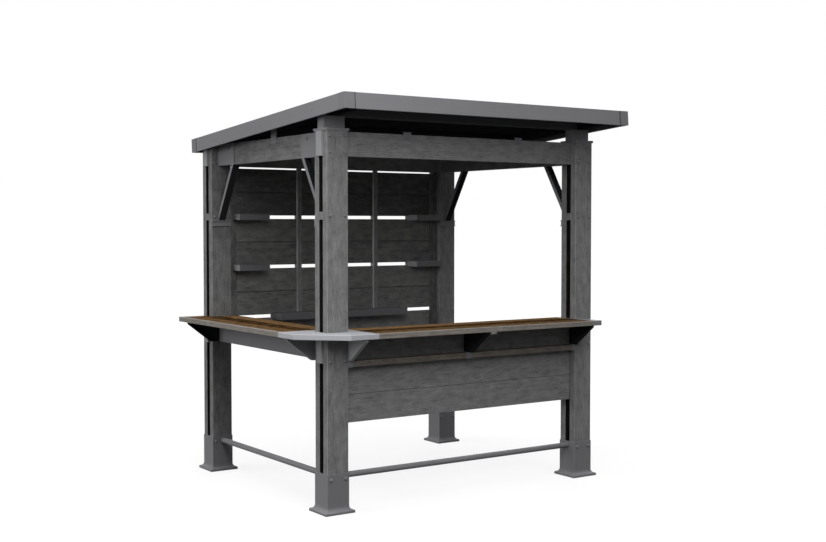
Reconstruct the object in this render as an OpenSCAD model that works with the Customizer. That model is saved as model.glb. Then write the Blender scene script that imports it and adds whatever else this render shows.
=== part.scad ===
// Bar gazebo: a four-post shelter with a mono-pitch roof, an L-shaped bar
// counter round its front and left sides, and a slatted shelf wall at the back.
// +X runs along the front to the right, +Y to the back, +Z up. The origin is on
// the ground, under the middle of the whole outline.

/* [Frame] */
// Width over the outside of the posts
frame_w = 2052; // [1700:1:2600]
// Depth over the outside of the posts
frame_d = 1696; // [1400:1:2200]
// Height of the posts, up to the top of their caps
post_h = 2253; // [1850:1:2750]
// Width of a post, which is the width of its planks
post_w = 142; // [110:1:180]
// Width of the open slot between the two planks of a post
slot_w = 40; // [36:1:60]
// Height of the header boards
header_h = 144; // [120:1:180]
// Thickness of the header boards and the aprons
board_t = 34; // [20:1:36]

/* [Steel fittings] */
// Height of the post boots
boot_h = 237; // [150:1:300]
// How far a boot's sleeve stands proud of the post
boot_wall = 3; // [2:0.5:8]
// How far a boot's foot spreads beyond its sleeve
boot_foot = 26; // [15:1:50]
// Thickness of the flat rim of a boot's foot
boot_rim = 18; // [8:1:25]
// Height of the cove that runs from the rim up to the sleeve
boot_cove = 24; // [10:1:40]
// Thickness of the cap plates and the flat steel plates
plate_t = 6; // [4:0.5:10]
// Height of the folded rim of a post cap
cap_rim_h = 15; // [12:1:30]
// How far a post cap stands proud of the post
cap_proud = 6; // [5:1:15]
// How far a slot cover laps over the plank on each side of the slot
cover_lap = 9; // [5:1:25]
// How far a slot cover stands proud of the post
cover_d = 16; // [8:1:25]
// Length of the side header plates
header_plate_l = 245; // [150:5:300]
// Depth of the risers on the front posts
riser_d = 70; // [50:1:120]
// Outer diameter of the foot rails
rail_d = 36; // [25:1:45]
// Height of the foot rails' centre line
rail_z = 209; // [180:1:230]

/* [Knee braces] */
// Width of a brace, along the front of the gazebo
brace_w = 50; // [30:1:80]
// Thickness of a brace
brace_t = 26; // [15:1:40]
// Drop from the side headers down to the shoe that a brace stands on
brace_drop = 372; // [250:1:550]
// Horizontal reach of a brace, from the post to its far top edge
brace_reach = 240; // [150:5:350]
// Height of a brace shoe
shoe_h = 40; // [25:1:80]
// How far a brace shoe stands out from the post
shoe_d = 14; // [8:1:30]

/* [Roof] */
// Fall of the roof from its front edge to its back edge
roof_fall = 151; // [100:1:200]
// Height of the packer between the back posts' caps and the roof sheet
roof_packer = 9.5; // [5:0.5:60]
// Overhang in front of the front posts
roof_front = 281; // [150:1:400]
// Overhang behind the back posts
roof_back = 59; // [30:1:200]
// Overhang beside the posts
roof_side = 53; // [30:1:200]
// Height of the fascia
fascia_h = 92; // [70:1:110]
// Thickness of the folded fascia
fascia_t = 3; // [2:0.5:6]
// Width of the fascia's top and bottom flanges
fascia_flange = 28; // [15:1:40]
// Depth of the ribbed roof sheet, over its ribs
deck_t = 16; // [10:1:22]
// Spacing of the ribs across the roof
rib_pitch = 214; // [120:2:300]
// Width of a rib at its foot
rib_foot = 58; // [30:1:80]
// Width of a rib at its top
rib_top = 26; // [10:1:28]
// Thickness of the roof sheet
sheet_t = 3; // [1:0.5:4]
// Length of each leg of a fascia corner cover
corner_leg = 67; // [40:1:120]
// Thickness of a fascia corner cover
corner_t = 2; // [1:0.5:3]
// Depth of the side tubes and the front beam under the deck
roof_tube_h = 54; // [30:1:60]
// Depth of the flat tube across the middle of the roof
purlin_h = 24; // [15:1:25]

/* [Bar] */
// Height of the bar top
bar_z = 1065; // [950:5:1150]
// Thickness of the bar top
bar_t = 32; // [25:1:45]
// Overhang of the bar outside the posts
bar_over = 199; // [150:1:300]
// Overhang of the bar inside the posts
bar_in = 40; // [20:1:80]
// How far the bar runs past the inner face of the right post
bar_right_end = 55; // [20:1:140]
// How far the bar runs past the inner face of the rear left post
bar_back_end = 107; // [50:1:140]
// Cut-off at the bar's corner, along each edge
chamfer = 238; // [150:1:300]
// Length of the steel corner plate along each edge
corner_run = 430; // [390:5:500]
// Gap between the boards of the bar
bar_gap = 4; // [1:0.5:8]
// Width of the steel edging along the bar
edging_w = 24; // [15:1:40]
// Length of the steel cap at the bar's right end
end_cap_l = 72; // [40:1:100]
// Length of the steel cap at the bar's back end
back_cap_l = 40; // [20:1:60]
// Thickness of a gusset
gusset_t = 6; // [4:1:12]
// Height of a gusset
gusset_h = 138; // [80:1:160]

/* [Front panel] */
// Height of the board under the bar
apron_h = 142; // [100:1:160]
// Height of the ledge below that board
ledge_h = 34; // [20:1:50]
// Height of the panel boards
panel_board_h = 168; // [120:1:180]
// Thickness of the panel boards and the wall boards
cladding_t = 28; // [16:1:34]

/* [Shelf wall] */
// Height of the wall boards
wall_board_h = 163; // [120:1:196]
// Height of the open gaps between the pairs of boards
wall_gap = 24; // [15:1:30]
// Width of the two wall battens
batten_w = 33; // [25:1:60]
// How far the battens and end trims stand out from the boards
batten_t = 21; // [12:1:35]
// Width of the end trims
trim_w = 60; // [30:1:90]
// Depth of the shelves
shelf_d = 129; // [90:1:180]
// Thickness of the small shelves
shelf_t = 42; // [20:1:50]
// Length of the small shelves
shelf_l = 235; // [150:1:300]
// Thickness of the long shelf
long_shelf_t = 48; // [30:1:60]
// Length of the long shelf
long_shelf_l = 1075; // [800:1:1200]

/* [Hidden] */
$fn = 48;

// Posts
right_x = frame_w - post_w;
back_y = frame_d - post_w;
plank_t = (post_w - slot_w) / 2;
cover_w = slot_w + 2 * cover_lap;
fold_t = 3;
cover_below = 2;
mid = post_w / 2;
mid_x = frame_w / 2;
post_xs = [0, right_x];
post_ys = [0, back_y];

// Headers
header_gap = 2;
header_top = post_h - cap_rim_h;
header_z = header_top - header_h;
header_y = mid - board_t / 2;
clip_w = 58;
clip_up = cap_rim_h;
clip_down = 29;
clip_from_mid = 433;
strap_w = 66;
strap_y = 745;
strap_down = 37;

// Boots and rails
rim_round = 6;
cove_steps = 4;
rail_fn = 24;

// Braces and slot spacers
shoe_t = 5;
brace_top_z = header_z;
brace_foot_z = brace_top_z - brace_drop;
spacer_h = 46;
spacer_z = brace_foot_z;

// Roof, in a frame that is tilted about its front top edge
roof_w = frame_w + 2 * roof_side;
roof_run = frame_d + roof_front + roof_back;
roof_tilt = atan(roof_fall / roof_run);
roof_l = roof_run / cos(roof_tilt);
deck_drop = 12;
deck_under = deck_drop + deck_t;
roof_rise = (roof_front + back_y + mid) * tan(roof_tilt);
roof_front_z = post_h + roof_packer + deck_under / cos(roof_tilt) + roof_rise;
roof_tube_gap = 30;
front_beam_t = 40;
purlin_w = 46;
tube_inner_x = header_y + board_t;
tube_span = frame_w - 2 * tube_inner_x;
big = 400;

// Bar
bar_b = bar_z - bar_t;
bar_x1 = right_x + bar_right_end;
bar_y1 = back_y + bar_back_end;
bar_w = bar_over + post_w + bar_in;
bar_boards = 3;
hole_clear = 1;
edging_tab = [40, 18, 14];
gusset_reach = bar_over - 14;
gusset_toe = 12;
gusset_foot = 20;
gusset_flange = 26;
edging_tab_x = mid_x + gusset_flange;
gusset_cover_more = 10;
bar_cover_l = gusset_h + gusset_cover_more;

// Front panel
ledge_z = bar_b - apron_h - ledge_h;
ledge_end_l = 30;
ledge_mid_l = 38;
apron_end_l = 46;
seam = 3;

// Shelf wall
wall_top_gap = 11;
wall_top = header_z - wall_top_gap;
wall_y = back_y + mid - cladding_t / 2;
band_h = 2 * wall_board_h;
band_pitch = band_h + wall_gap;
wall_bottom = wall_top - 3 * band_pitch - wall_board_h;
batten_x = 686;
shelf_end_gap = 30;

// Middle of the whole outline
x_min = -bar_over;
x_max = frame_w + roof_side + corner_t;
y_min = -roof_front - corner_t * cos(roof_tilt) - fascia_h * sin(roof_tilt);
y_max = -roof_front + (roof_l + corner_t) * cos(roof_tilt);
centre = [(x_min + x_max) / 2, (y_min + y_max) / 2, 0];

wood_grey = "#55575a";
steel_grey = "#77797d";
corner_grey = "#95979a";
bar_brown = "#6b4a2b";
dark_steel = "#2c2d2f";

// ---- helpers ----

// Moves a piece from the frame's own corner to the middle of the outline
module placed() {
    translate(-centre) children();
}

// Copies a piece made for the left side to the right side
module both_sides() {
    children();
    translate([frame_w, 0, 0]) mirror([1, 0, 0]) children();
}

// Copies a piece made for the front post to the back post
module both_ends() {
    children();
    translate([0, frame_d, 0]) mirror([0, 1, 0]) children();
}

// Lays a piece in the tilted frame of the roof, whose origin is the left end
// of the front top edge
module on_roof() {
    translate([-roof_side, -roof_front, roof_front_z])
        rotate([-roof_tilt, 0, 0]) children();
}

// Everything above a plane at a depth below the roof's top, to cut what carries
// the roof
module above_roof_frame(drop) {
    on_roof() translate([-big, -big, -drop])
        cube([roof_w + 2 * big, roof_l + 2 * big, 2 * big]);
}

// ---- posts ----

// Two planks side by side with an open slot between them
module post_at(x, y) {
    color(wood_grey) placed() translate([x, y, boot_rim]) {
        cube([post_w, plank_t, post_h - plate_t - boot_rim]);
        translate([0, post_w - plank_t, 0])
            cube([post_w, plank_t, post_h - plate_t - boot_rim]);
    }
}

module post_front_left() { post_at(0, 0); }
module post_front_right() { post_at(right_x, 0); }
module post_rear_left() { post_at(0, back_y); }
module post_rear_right() { post_at(right_x, back_y); }

// Side view of a boot: a rim with a rounded top edge, a cove and the sleeve.
// Half an outline, from the floor up to the sleeve's top, is mirrored.
function boot_half() =
    let (sleeve = post_w / 2 + boot_wall,
        foot = sleeve + boot_foot,
        run = boot_foot - rim_round)
    concat(
        [[foot, 0]],
        [for (i = [0:3]) let (a = i * 30)
            [foot - rim_round * (1 - cos(a)), boot_rim - rim_round * (1 - sin(a))]],
        [for (i = [1:cove_steps]) let (a = i * 90 / cove_steps)
            [sleeve + run * (1 - sin(a)), boot_rim + boot_cove * (1 - cos(a))]],
        [[sleeve, boot_h]]
    );

// A boot's side view, run along the whole foot
module boot_moulding() {
    half = boot_half();
    length = post_w + 2 * (boot_wall + boot_foot);
    rotate([90, 0, 0]) linear_extrude(height = length, center = true)
        polygon(concat(half, [for (i = [len(half) - 1:-1:0]) [-half[i][0], half[i][1]]]));
}

// Square steel boot: two mouldings at right angles, which meet in mitres, with a
// socket for the post
module boot_at(x, y) {
    color(steel_grey) placed() translate([x + mid, y + mid, 0]) difference() {
        intersection() {
            boot_moulding();
            rotate([0, 0, 90]) boot_moulding();
        }
        translate([-post_w / 2, -post_w / 2, boot_rim])
            cube([post_w, post_w, boot_h]);
    }
}

module boot_front_left() { boot_at(0, 0); }
module boot_front_right() { boot_at(right_x, 0); }
module boot_rear_left() { boot_at(0, back_y); }
module boot_rear_right() { boot_at(right_x, back_y); }

// Shallow steel tray over the top of each post
module post_caps() {
    cap_w = post_w + 2 * cap_proud;
    inside = cap_w - 2 * fold_t;
    color(steel_grey) placed() for (x = post_xs, y = post_ys)
        translate([x - cap_proud, y - cap_proud, post_h - cap_rim_h]) difference() {
            cube([cap_w, cap_w, cap_rim_h]);
            translate([fold_t, fold_t, -1])
                cube([inside, inside, cap_rim_h - plate_t + 1]);
        }
}

// Wooden blocks that hold the planks apart at the height of the brace shoes
module post_spacers() {
    color(wood_grey) placed() for (x = post_xs, y = post_ys)
        translate([x, y + plank_t, spacer_z]) cube([post_w, slot_w, spacer_h]);
}

// Steel channel over a slot, open towards the post, with closed ends
module slot_cover(length) {
    translate([-cover_d, mid - cover_w / 2, 0]) difference() {
        cube([cover_d, cover_w, length]);
        translate([fold_t, fold_t, fold_t])
            cube([cover_d, cover_w - 2 * fold_t, length - 2 * fold_t]);
    }
}

// Covers over the slots on the outer sides, at the headers, and on the left also
// under the bar
module slot_covers() {
    color(steel_grey) placed() {
        both_sides() for (y = post_ys)
            translate([0, y, header_z - cover_below]) slot_cover(header_h);
        for (y = post_ys)
            translate([0, y, bar_b - bar_cover_l]) slot_cover(bar_cover_l);
    }
}

// Steel boxes on the front posts, under the side tubes of the roof
module risers() {
    color(steel_grey) placed() difference() {
        for (x = post_xs)
            translate([x, mid - riser_d / 2, post_h]) cube([post_w, riser_d, big]);
        above_roof_frame(deck_under + roof_tube_h);
    }
}

// ---- headers ----

// A header board runs in the slots of both posts
module header_x(y) {
    color(wood_grey) placed() translate([header_gap, y + header_y, header_z])
        cube([frame_w - 2 * header_gap, board_t, header_h]);
}

module header_front() { header_x(0); }
module header_rear() { header_x(back_y); }

// A side header board stands between the front and the back post
module header_left() {
    color(wood_grey) placed() translate([header_y, post_w, header_z])
        cube([board_t, back_y - post_w, header_h]);
}

module header_right() {
    color(wood_grey) placed() translate([right_x + header_y, post_w, header_z])
        cube([board_t, back_y - post_w, header_h]);
}

// Steel plates on both faces of the side headers, next to each post
module header_plates() {
    color(steel_grey) placed() both_sides() both_ends()
        for (x = [header_y - plate_t, header_y + board_t])
            translate([x, post_w, header_z]) cube([plate_t, header_plate_l, header_h]);
}

// Steel clips hooked over the front and back headers
module header_clips() {
    color(steel_grey) placed() both_ends() for (s = [-1, 1])
        translate([mid_x + s * clip_from_mid - clip_w / 2, header_y - plate_t,
            header_top - clip_down])
            difference() {
                cube([clip_w, board_t + 2 * plate_t, clip_down + clip_up]);
                translate([-1, plate_t, -1])
                    cube([clip_w + 2, board_t, clip_down + 1]);
            }
}

// ---- knee braces ----

// Flat bar from the shoe on the post up to the underside of the side header
module brace_shape() {
    rise = brace_top_z - brace_foot_z;
    run = brace_reach;
    slope = atan(rise / run);
    cut = brace_t / sin(slope);
    translate([mid - brace_w / 2, post_w, brace_foot_z])
        rotate([90, 0, 90]) linear_extrude(height = brace_w)
            polygon([[0, 0], [cut / 3, 0], [run, rise], [run - cut, rise], [0, cut]]);
}

module brace_front_left() { color(steel_grey) placed() brace_shape(); }

module brace_rear_left() {
    color(steel_grey) placed() translate([0, frame_d, 0])
        mirror([0, 1, 0]) brace_shape();
}

module brace_front_right() {
    color(steel_grey) placed() translate([right_x, 0, 0]) brace_shape();
}

module brace_rear_right() {
    color(steel_grey) placed() translate([right_x, frame_d, 0])
        mirror([0, 1, 0]) brace_shape();
}

// Steel channel across the inner face of each post, under the brace, with its
// two lips turned out
module brace_shoes() {
    color(steel_grey) placed() both_sides() both_ends()
        translate([0, post_w, brace_foot_z - shoe_h]) difference() {
            cube([post_w, shoe_d, shoe_h]);
            translate([-1, shoe_t, shoe_t])
                cube([post_w + 2, shoe_d, shoe_h - 2 * shoe_t]);
        }
}

// ---- roof ----

// Upper outline of the roof sheet across the roof: flat pans between trapezoid
// ribs, which are spaced evenly from the middle
function sheet_outline(width) =
    let (ribs = floor((width - 2 * rib_foot) / rib_pitch),
        start = width / 2 - ribs * rib_pitch / 2,
        pan = sheet_t,
        crest = deck_t)
    concat(
        [[0, pan]],
        [for (i = [0:ribs]) let (x = start + i * rib_pitch) each [
            [x - rib_foot / 2, pan], [x - rib_top / 2, crest],
            [x + rib_top / 2, crest], [x + rib_foot / 2, pan]
        ]],
        [[width, pan]]
    );

// Ribbed steel sheet that lies inside the fascias, with its ribs down the slope
module roof_deck() {
    width = roof_w - 2 * fascia_t;
    top = sheet_outline(width);
    last = len(top) - 1;
    under = [for (i = [last:-1:0]) [top[i][0], top[i][1] - sheet_t]];
    color(dark_steel) placed() on_roof()
        translate([fascia_t, roof_l - fascia_t, -deck_under])
            rotate([90, 0, 0]) linear_extrude(height = roof_l - 2 * fascia_t)
                polygon(concat(top, under));
}

// Folded fascia: a face with a flange turned in at the top and at the bottom
module fascia_profile() {
    polygon([
        [0, 0], [fascia_flange, 0], [fascia_flange, -fascia_t], [fascia_t, -fascia_t],
        [fascia_t, fascia_t - fascia_h], [fascia_flange / 2, fascia_t - fascia_h],
        [fascia_flange / 2, -fascia_h], [0, -fascia_h]
    ]);
}

// A fascia along the left side, in the roof's frame
module fascia_side() {
    translate([0, roof_l, 0]) rotate([90, 0, 0])
        linear_extrude(height = roof_l) fascia_profile();
}

// A fascia along the front, between the side ones, in the roof's frame
module fascia_end() {
    translate([fascia_flange, 0, 0]) rotate([90, 0, 90])
        linear_extrude(height = roof_w - 2 * fascia_flange) fascia_profile();
}

module fascia_front() { color(steel_grey) placed() on_roof() fascia_end(); }

module fascia_rear() {
    color(steel_grey) placed() on_roof() translate([0, roof_l, 0])
        mirror([0, 1, 0]) fascia_end();
}

module fascia_left() { color(steel_grey) placed() on_roof() fascia_side(); }

module fascia_right() {
    color(steel_grey) placed() on_roof() translate([roof_w, 0, 0])
        mirror([1, 0, 0]) fascia_side();
}

// L-shaped covers over the four fascia corners
module fascia_corners() {
    color(steel_grey) placed() on_roof()
        for (mx = [0, 1], my = [0, 1])
            translate([mx * roof_w, my * roof_l, -fascia_h])
                mirror([mx, 0, 0]) mirror([0, my, 0])
                    linear_extrude(height = fascia_h) polygon([
                        [-corner_t, -corner_t], [corner_leg, -corner_t],
                        [corner_leg, 0], [0, 0], [0, corner_leg],
                        [-corner_t, corner_leg]
                    ]);
}

// Beam over the risers, between the side tubes
module roof_front_beam() {
    color(dark_steel) placed() on_roof()
        translate([roof_side + tube_inner_x,
            (roof_front + mid) / cos(roof_tilt) - front_beam_t / 2,
            -deck_under - roof_tube_h])
            cube([tube_span, front_beam_t, roof_tube_h]);
}

// The headers, the back posts' caps and all that lies below them
module below_tubes() {
    wide = frame_w + 2 * big;
    translate([-big, -big, 0]) cube([wide, frame_d + 2 * big, header_top]);
    translate([-big, back_y - cap_proud, 0]) cube([wide, frame_d, post_h]);
}

// Tubes along the left and right sides, which lie on the risers and are cut to
// run out on the side headers and the back caps
module roof_rails() {
    length = (roof_front + frame_d) / cos(roof_tilt) - roof_tube_gap;
    color(dark_steel) placed() difference() {
        on_roof() for (x = [0, right_x])
            translate([roof_side + x + header_y, roof_tube_gap,
                -deck_under - roof_tube_h])
                cube([board_t, length, roof_tube_h]);
        below_tubes();
    }
}

// A flat tube between the side tubes at the straps, and a packer between them on
// the back posts' caps, wedge-shaped to the slope
module roof_purlins() {
    color(dark_steel) placed() {
        on_roof() translate([roof_side + tube_inner_x,
            (roof_front + strap_y) / cos(roof_tilt) - purlin_w / 2,
            -deck_under - purlin_h])
            cube([tube_span, purlin_w, purlin_h]);
        difference() {
            translate([tube_inner_x, back_y + mid - purlin_w / 2, post_h])
                cube([tube_span, purlin_w, big]);
            above_roof_frame(deck_under);
        }
    }
}

// Straps that tie the side headers to the side tubes above them
module roof_seats() {
    color(steel_grey) placed() difference() {
        both_sides() translate([header_y - plate_t, strap_y - strap_w / 2,
            header_top - strap_down])
            cube([plate_t, strap_w, big]);
        above_roof_frame(deck_under);
    }
}

// ---- bar ----

// Outline of the bar from above
module bar_outline() {
    edge = -bar_over;
    inner = post_w + bar_in;
    polygon([
        [edge, edge + chamfer], [edge + chamfer, edge], [bar_x1, edge],
        [bar_x1, inner], [inner, inner], [inner, bar_y1], [edge, bar_y1]
    ]);
}

// The posts and the end of the shelf wall, cut out of the bar
module bar_cutouts() {
    for (p = [[0, 0], [right_x, 0], [0, back_y]])
        translate([p[0] - hole_clear, p[1] - hole_clear])
            square(post_w + 2 * hole_clear);
    translate([post_w, wall_y - batten_t - hole_clear]) square(big);
}

// Distance from the bar's outer edge to the near side of board n
function board_at(n) =
    edging_w + n * (bar_w - edging_w + bar_gap) / bar_boards;

// Width of one board of the bar
function board_width() = (bar_w - edging_w + bar_gap) / bar_boards - bar_gap;

// Boards of the front arm, from the corner plate to the right end cap
module bar_top_front() {
    color(bar_brown) placed() translate([0, 0, bar_b]) linear_extrude(height = bar_t)
        for (n = [0:bar_boards - 1])
            translate([corner_run - bar_over, board_at(n) - bar_over])
                square([bar_x1 - end_cap_l - corner_run + bar_over, board_width()]);
}

// Boards of the left arm, from the corner plate to the back end cap
module bar_top_left() {
    color(bar_brown) placed() translate([0, 0, bar_b]) linear_extrude(height = bar_t)
        difference() {
            for (n = [0:bar_boards - 1])
                translate([board_at(n) - bar_over, corner_run - bar_over])
                    square([board_width(), bar_y1 - back_cap_l - corner_run + bar_over]);
            bar_cutouts();
        }
}

// Steel plate with a cut-off corner, which fills the corner round the near post
module bar_corner() {
    color(corner_grey) placed() translate([0, 0, bar_b]) linear_extrude(height = bar_t)
        difference() {
            intersection() {
                bar_outline();
                translate([-bar_over, -bar_over]) square(corner_run);
            }
            bar_cutouts();
        }
}

// Edging of the front arm, with a tab under it where its two lengths meet
module bar_edging_front() {
    color(wood_grey) placed() {
        translate([corner_run - bar_over, -bar_over, bar_b])
            cube([bar_x1 - end_cap_l - corner_run + bar_over, edging_w, bar_t]);
        translate([edging_tab_x, -bar_over, bar_b - edging_tab[2]]) cube(edging_tab);
    }
}

module bar_edging_left() {
    color(wood_grey) placed() translate([-bar_over, corner_run - bar_over, bar_b])
        cube([edging_w, bar_y1 - back_cap_l - corner_run + bar_over, bar_t]);
}

// Steel caps over the ends of both arms
module bar_end_caps() {
    color(steel_grey) placed() translate([0, 0, bar_b]) linear_extrude(height = bar_t)
        difference() {
            union() {
                translate([bar_x1 - end_cap_l, -bar_over]) square([end_cap_l, bar_w]);
                translate([-bar_over, bar_y1 - back_cap_l]) square([bar_w, back_cap_l]);
            }
            bar_cutouts();
        }
}

// Folded bracket that reaches out from a root to a distance from the posts'
// face: a web, with a flange along its slanted edge
module gusset(root) {
    foot = [-gusset_foot, -gusset_h];
    tip = [-gusset_reach, -gusset_toe];
    slope = atan2(tip[1] - foot[1], foot[0] - tip[0]);
    linear_extrude(height = gusset_t)
        polygon([[root, 0], [root, -gusset_h], foot, tip, [-gusset_reach, 0]]);
    linear_extrude(height = gusset_flange)
        polygon([foot, tip, tip + [0, gusset_t / cos(slope)],
            foot + [0, gusset_t / cos(slope)]]);
}

// Brackets under the front arm: on the inner faces of both posts, and one on the
// apron between them
module gussets_front() {
    color(steel_grey) placed() translate([0, 0, bar_b]) {
        translate([post_w, 0, 0]) rotate([90, 0, 90]) gusset(plank_t);
        translate([mid_x - gusset_t / 2, 0, 0]) rotate([90, 0, 90]) gusset(plank_t);
        translate([right_x, 0, 0]) mirror([1, 0, 0]) rotate([90, 0, 90]) gusset(plank_t);
    }
}

// Brackets under the left arm, on the inner faces of both posts
module gussets_left() {
    color(steel_grey) placed() translate([0, 0, bar_b]) both_ends()
        translate([0, post_w, 0]) mirror([0, 1, 0]) rotate([90, 0, 0])
            gusset(header_y - plate_t);
}

// ---- front panel ----

module apron_front() {
    color(wood_grey) placed() translate([post_w, plank_t, bar_b - apron_h])
        cube([right_x - post_w, cladding_t, apron_h]);
}

// Folded steel apron under the left arm, with an end plate at each post
module apron_left() {
    color(steel_grey) placed() translate([header_y, 0, bar_b - apron_h]) {
        translate([0, post_w, 0]) cube([board_t, back_y - post_w, apron_h]);
        both_ends() translate([-plate_t, post_w, 0])
            cube([plate_t + 1, apron_end_l, apron_h]);
    }
}

// Rail along the front below the apron
module ledge() {
    color(wood_grey) placed() translate([post_w, 0, ledge_z])
        cube([right_x - post_w, plank_t, ledge_h]);
}

// Thin steel clips folded over the ledge's front, at its ends and its middle
module ledge_clips() {
    color(steel_grey) placed() for (clip = [[post_w, ledge_end_l],
        [mid_x - ledge_mid_l / 2, ledge_mid_l], [right_x - ledge_end_l, ledge_end_l]])
        translate([clip[0], -fold_t, ledge_z - fold_t]) difference() {
            cube([clip[1], plank_t + fold_t, ledge_h + 2 * fold_t]);
            translate([-1, fold_t, fold_t]) cube([clip[1] + 2, plank_t + 1, ledge_h]);
        }
}

module panel_board(level) {
    color(wood_grey) placed()
        translate([post_w, plank_t, ledge_z - level * panel_board_h])
            cube([right_x - post_w, cladding_t, panel_board_h - seam]);
}

module panel_board_upper() { panel_board(1); }
module panel_board_lower() { panel_board(2); }

module foot_rail_front() {
    color(steel_grey) placed() translate([post_w + boot_wall, mid, rail_z])
        rotate([0, 90, 0])
            cylinder(d = rail_d, h = right_x - post_w - 2 * boot_wall, $fn = rail_fn);
}

module foot_rail_left() {
    color(steel_grey) placed() translate([mid, post_w + boot_wall, rail_z])
        rotate([-90, 0, 0])
            cylinder(d = rail_d, h = back_y - post_w - 2 * boot_wall, $fn = rail_fn);
}

// ---- shelf wall ----

// A pair of boards, or the single lowest board, with a groove along the seam
module wall_band(n) {
    h = n < 3 ? band_h : wall_board_h;
    top = wall_top - n * band_pitch;
    color(wood_grey) placed() translate([post_w, wall_y, top - h]) difference() {
        cube([right_x - post_w, cladding_t, h]);
        if (n < 3) translate([-1, -1, wall_board_h - seam / 2])
            cube([frame_w, seam + 1, seam]);
    }
}

module wall_band_1() { wall_band(0); }
module wall_band_2() { wall_band(1); }
module wall_band_3() { wall_band(2); }
module wall_band_4() { wall_band(3); }

// Upright strip beside a post, in front of the boards' ends
module end_trim() {
    translate([post_w, wall_y - batten_t, wall_bottom])
        cube([trim_w, batten_t, wall_top - wall_bottom]);
}

module wall_end_trims() {
    color(wood_grey) placed() both_sides() end_trim();
}

// Two upright bars that stand on the long shelf in front of the boards, with a
// clip in every gap
module wall_battens() {
    foot = wall_top - 3 * band_pitch + (wall_gap + long_shelf_t) / 2;
    color(wood_grey) placed() both_sides() {
        translate([batten_x, wall_y - batten_t, foot])
            cube([batten_w, batten_t, header_z - foot]);
        for (n = [1, 2])
            translate([batten_x, wall_y, wall_top - n * band_pitch])
                cube([batten_w, cladding_t, wall_gap]);
    }
}

// Steel shelf in gap n of the wall: a box in front of the boards, and a tongue
// that fills the gap
module shelf(n, x, length, thickness) {
    gap_z = wall_top - n * band_pitch;
    translate([x, wall_y - shelf_d, gap_z + (wall_gap - thickness) / 2])
        cube([length, shelf_d, thickness]);
    translate([x, wall_y - 1, gap_z]) cube([length, cladding_t + 1, wall_gap]);
}

// The two small shelves of the left side, notched round the end trim
module small_shelves() {
    for (n = [1, 2]) difference() {
        shelf(n, post_w + shelf_end_gap, shelf_l, shelf_t);
        end_trim();
    }
}

module shelves_left() { color(steel_grey) placed() small_shelves(); }

module shelves_right() {
    color(steel_grey) placed() translate([frame_w, 0, 0]) mirror([1, 0, 0])
        small_shelves();
}

module shelf_long() {
    color(steel_grey) placed()
        shelf(3, mid_x - long_shelf_l / 2, long_shelf_l, long_shelf_t);
}

post_front_left();
post_front_right();
post_rear_left();
post_rear_right();
boot_front_left();
boot_front_right();
boot_rear_left();
boot_rear_right();
post_caps();
post_spacers();
slot_covers();
risers();
header_front();
header_rear();
header_left();
header_right();
header_plates();
header_clips();
brace_front_left();
brace_front_right();
brace_rear_left();
brace_rear_right();
brace_shoes();
roof_deck();
fascia_front();
fascia_rear();
fascia_left();
fascia_right();
fascia_corners();
roof_front_beam();
roof_rails();
roof_purlins();
roof_seats();
bar_top_front();
bar_top_left();
bar_corner();
bar_edging_front();
bar_edging_left();
bar_end_caps();
gussets_front();
gussets_left();
apron_front();
apron_left();
ledge();
ledge_clips();
panel_board_upper();
panel_board_lower();
foot_rail_front();
foot_rail_left();
wall_band_1();
wall_band_2();
wall_band_3();
wall_band_4();
wall_end_trims();
wall_battens();
shelves_left();
shelves_right();
shelf_long();
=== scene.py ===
"""A bar gazebo: four posts of stained timber on steel boots, a low mono-pitch roof, an
L-shaped bar round the front and left sides, and a slatted shelf wall at the back."""

import math
import random

import bmesh
import bpy
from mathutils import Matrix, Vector


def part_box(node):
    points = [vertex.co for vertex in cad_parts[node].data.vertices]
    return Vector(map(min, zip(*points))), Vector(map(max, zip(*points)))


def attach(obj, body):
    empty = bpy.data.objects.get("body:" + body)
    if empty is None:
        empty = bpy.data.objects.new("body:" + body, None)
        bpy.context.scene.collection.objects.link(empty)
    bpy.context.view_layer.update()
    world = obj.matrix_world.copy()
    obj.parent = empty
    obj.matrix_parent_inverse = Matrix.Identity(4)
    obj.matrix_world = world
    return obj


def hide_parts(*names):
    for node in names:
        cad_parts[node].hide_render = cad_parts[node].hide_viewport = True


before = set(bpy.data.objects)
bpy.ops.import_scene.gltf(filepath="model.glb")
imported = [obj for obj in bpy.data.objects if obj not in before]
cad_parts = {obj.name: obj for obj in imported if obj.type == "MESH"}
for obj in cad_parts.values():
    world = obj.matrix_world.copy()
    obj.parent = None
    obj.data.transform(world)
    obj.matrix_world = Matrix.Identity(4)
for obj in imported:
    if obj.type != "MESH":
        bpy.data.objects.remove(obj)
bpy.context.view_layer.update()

MM = 0.001

# ---- Posts ----
# Each post is a pair of planed softwood planks, stained grey, which stand a slot apart.
# The planer leaves their edges rounded, and the stain lies thinner there, so the edges
# look paler than the faces.
PLANK_EASE, BLOCK_EASE = 3 * MM, 1.5 * MM
# Corners this close are one, and a face looks along an axis if its normal does to this share
WELD = 0.01 * MM
SQUARE_ON = 0.9
STAIN_PALE, STAIN_DARK = "8b8b8b", "5a5a5a"
# The near-black colours of the slot faces are painted shade deep in the posts' slots
SLOT_SHADE_PALE, SLOT_SHADE_DEEP = "2b2a29", "141312"
RING_SPACING = 7 * MM
FIBRE_WIDTH = 8 * MM
FIBRE_LENGTH = 90 * MM
BLOTCH_WIDTH = 42 * MM
BLOTCH_LENGTH = 75 * MM
PORES_PER_METRE = (14.0, 130.0, 130.0)
NAP = 7 * MM
SWAYS_PER_METRE, SWAY = (1.3, 5.0, 5.0), 30 * MM
# A wave texture of scale 1 repeats at this spacing
WAVE_PERIOD = 0.314
# A board's place in its log: up to LOG_REACH along it, and this far aside and off the heart
LOG_REACH = 9
HEART_SIDE, HEART_NEAR, HEART_FAR = 30 * MM, 50 * MM, 100 * MM
# How far from a post's middle the painted slot shade reaches
SLOT_SHADE_REACH = 22 * MM
boards = random.Random(11)


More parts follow.
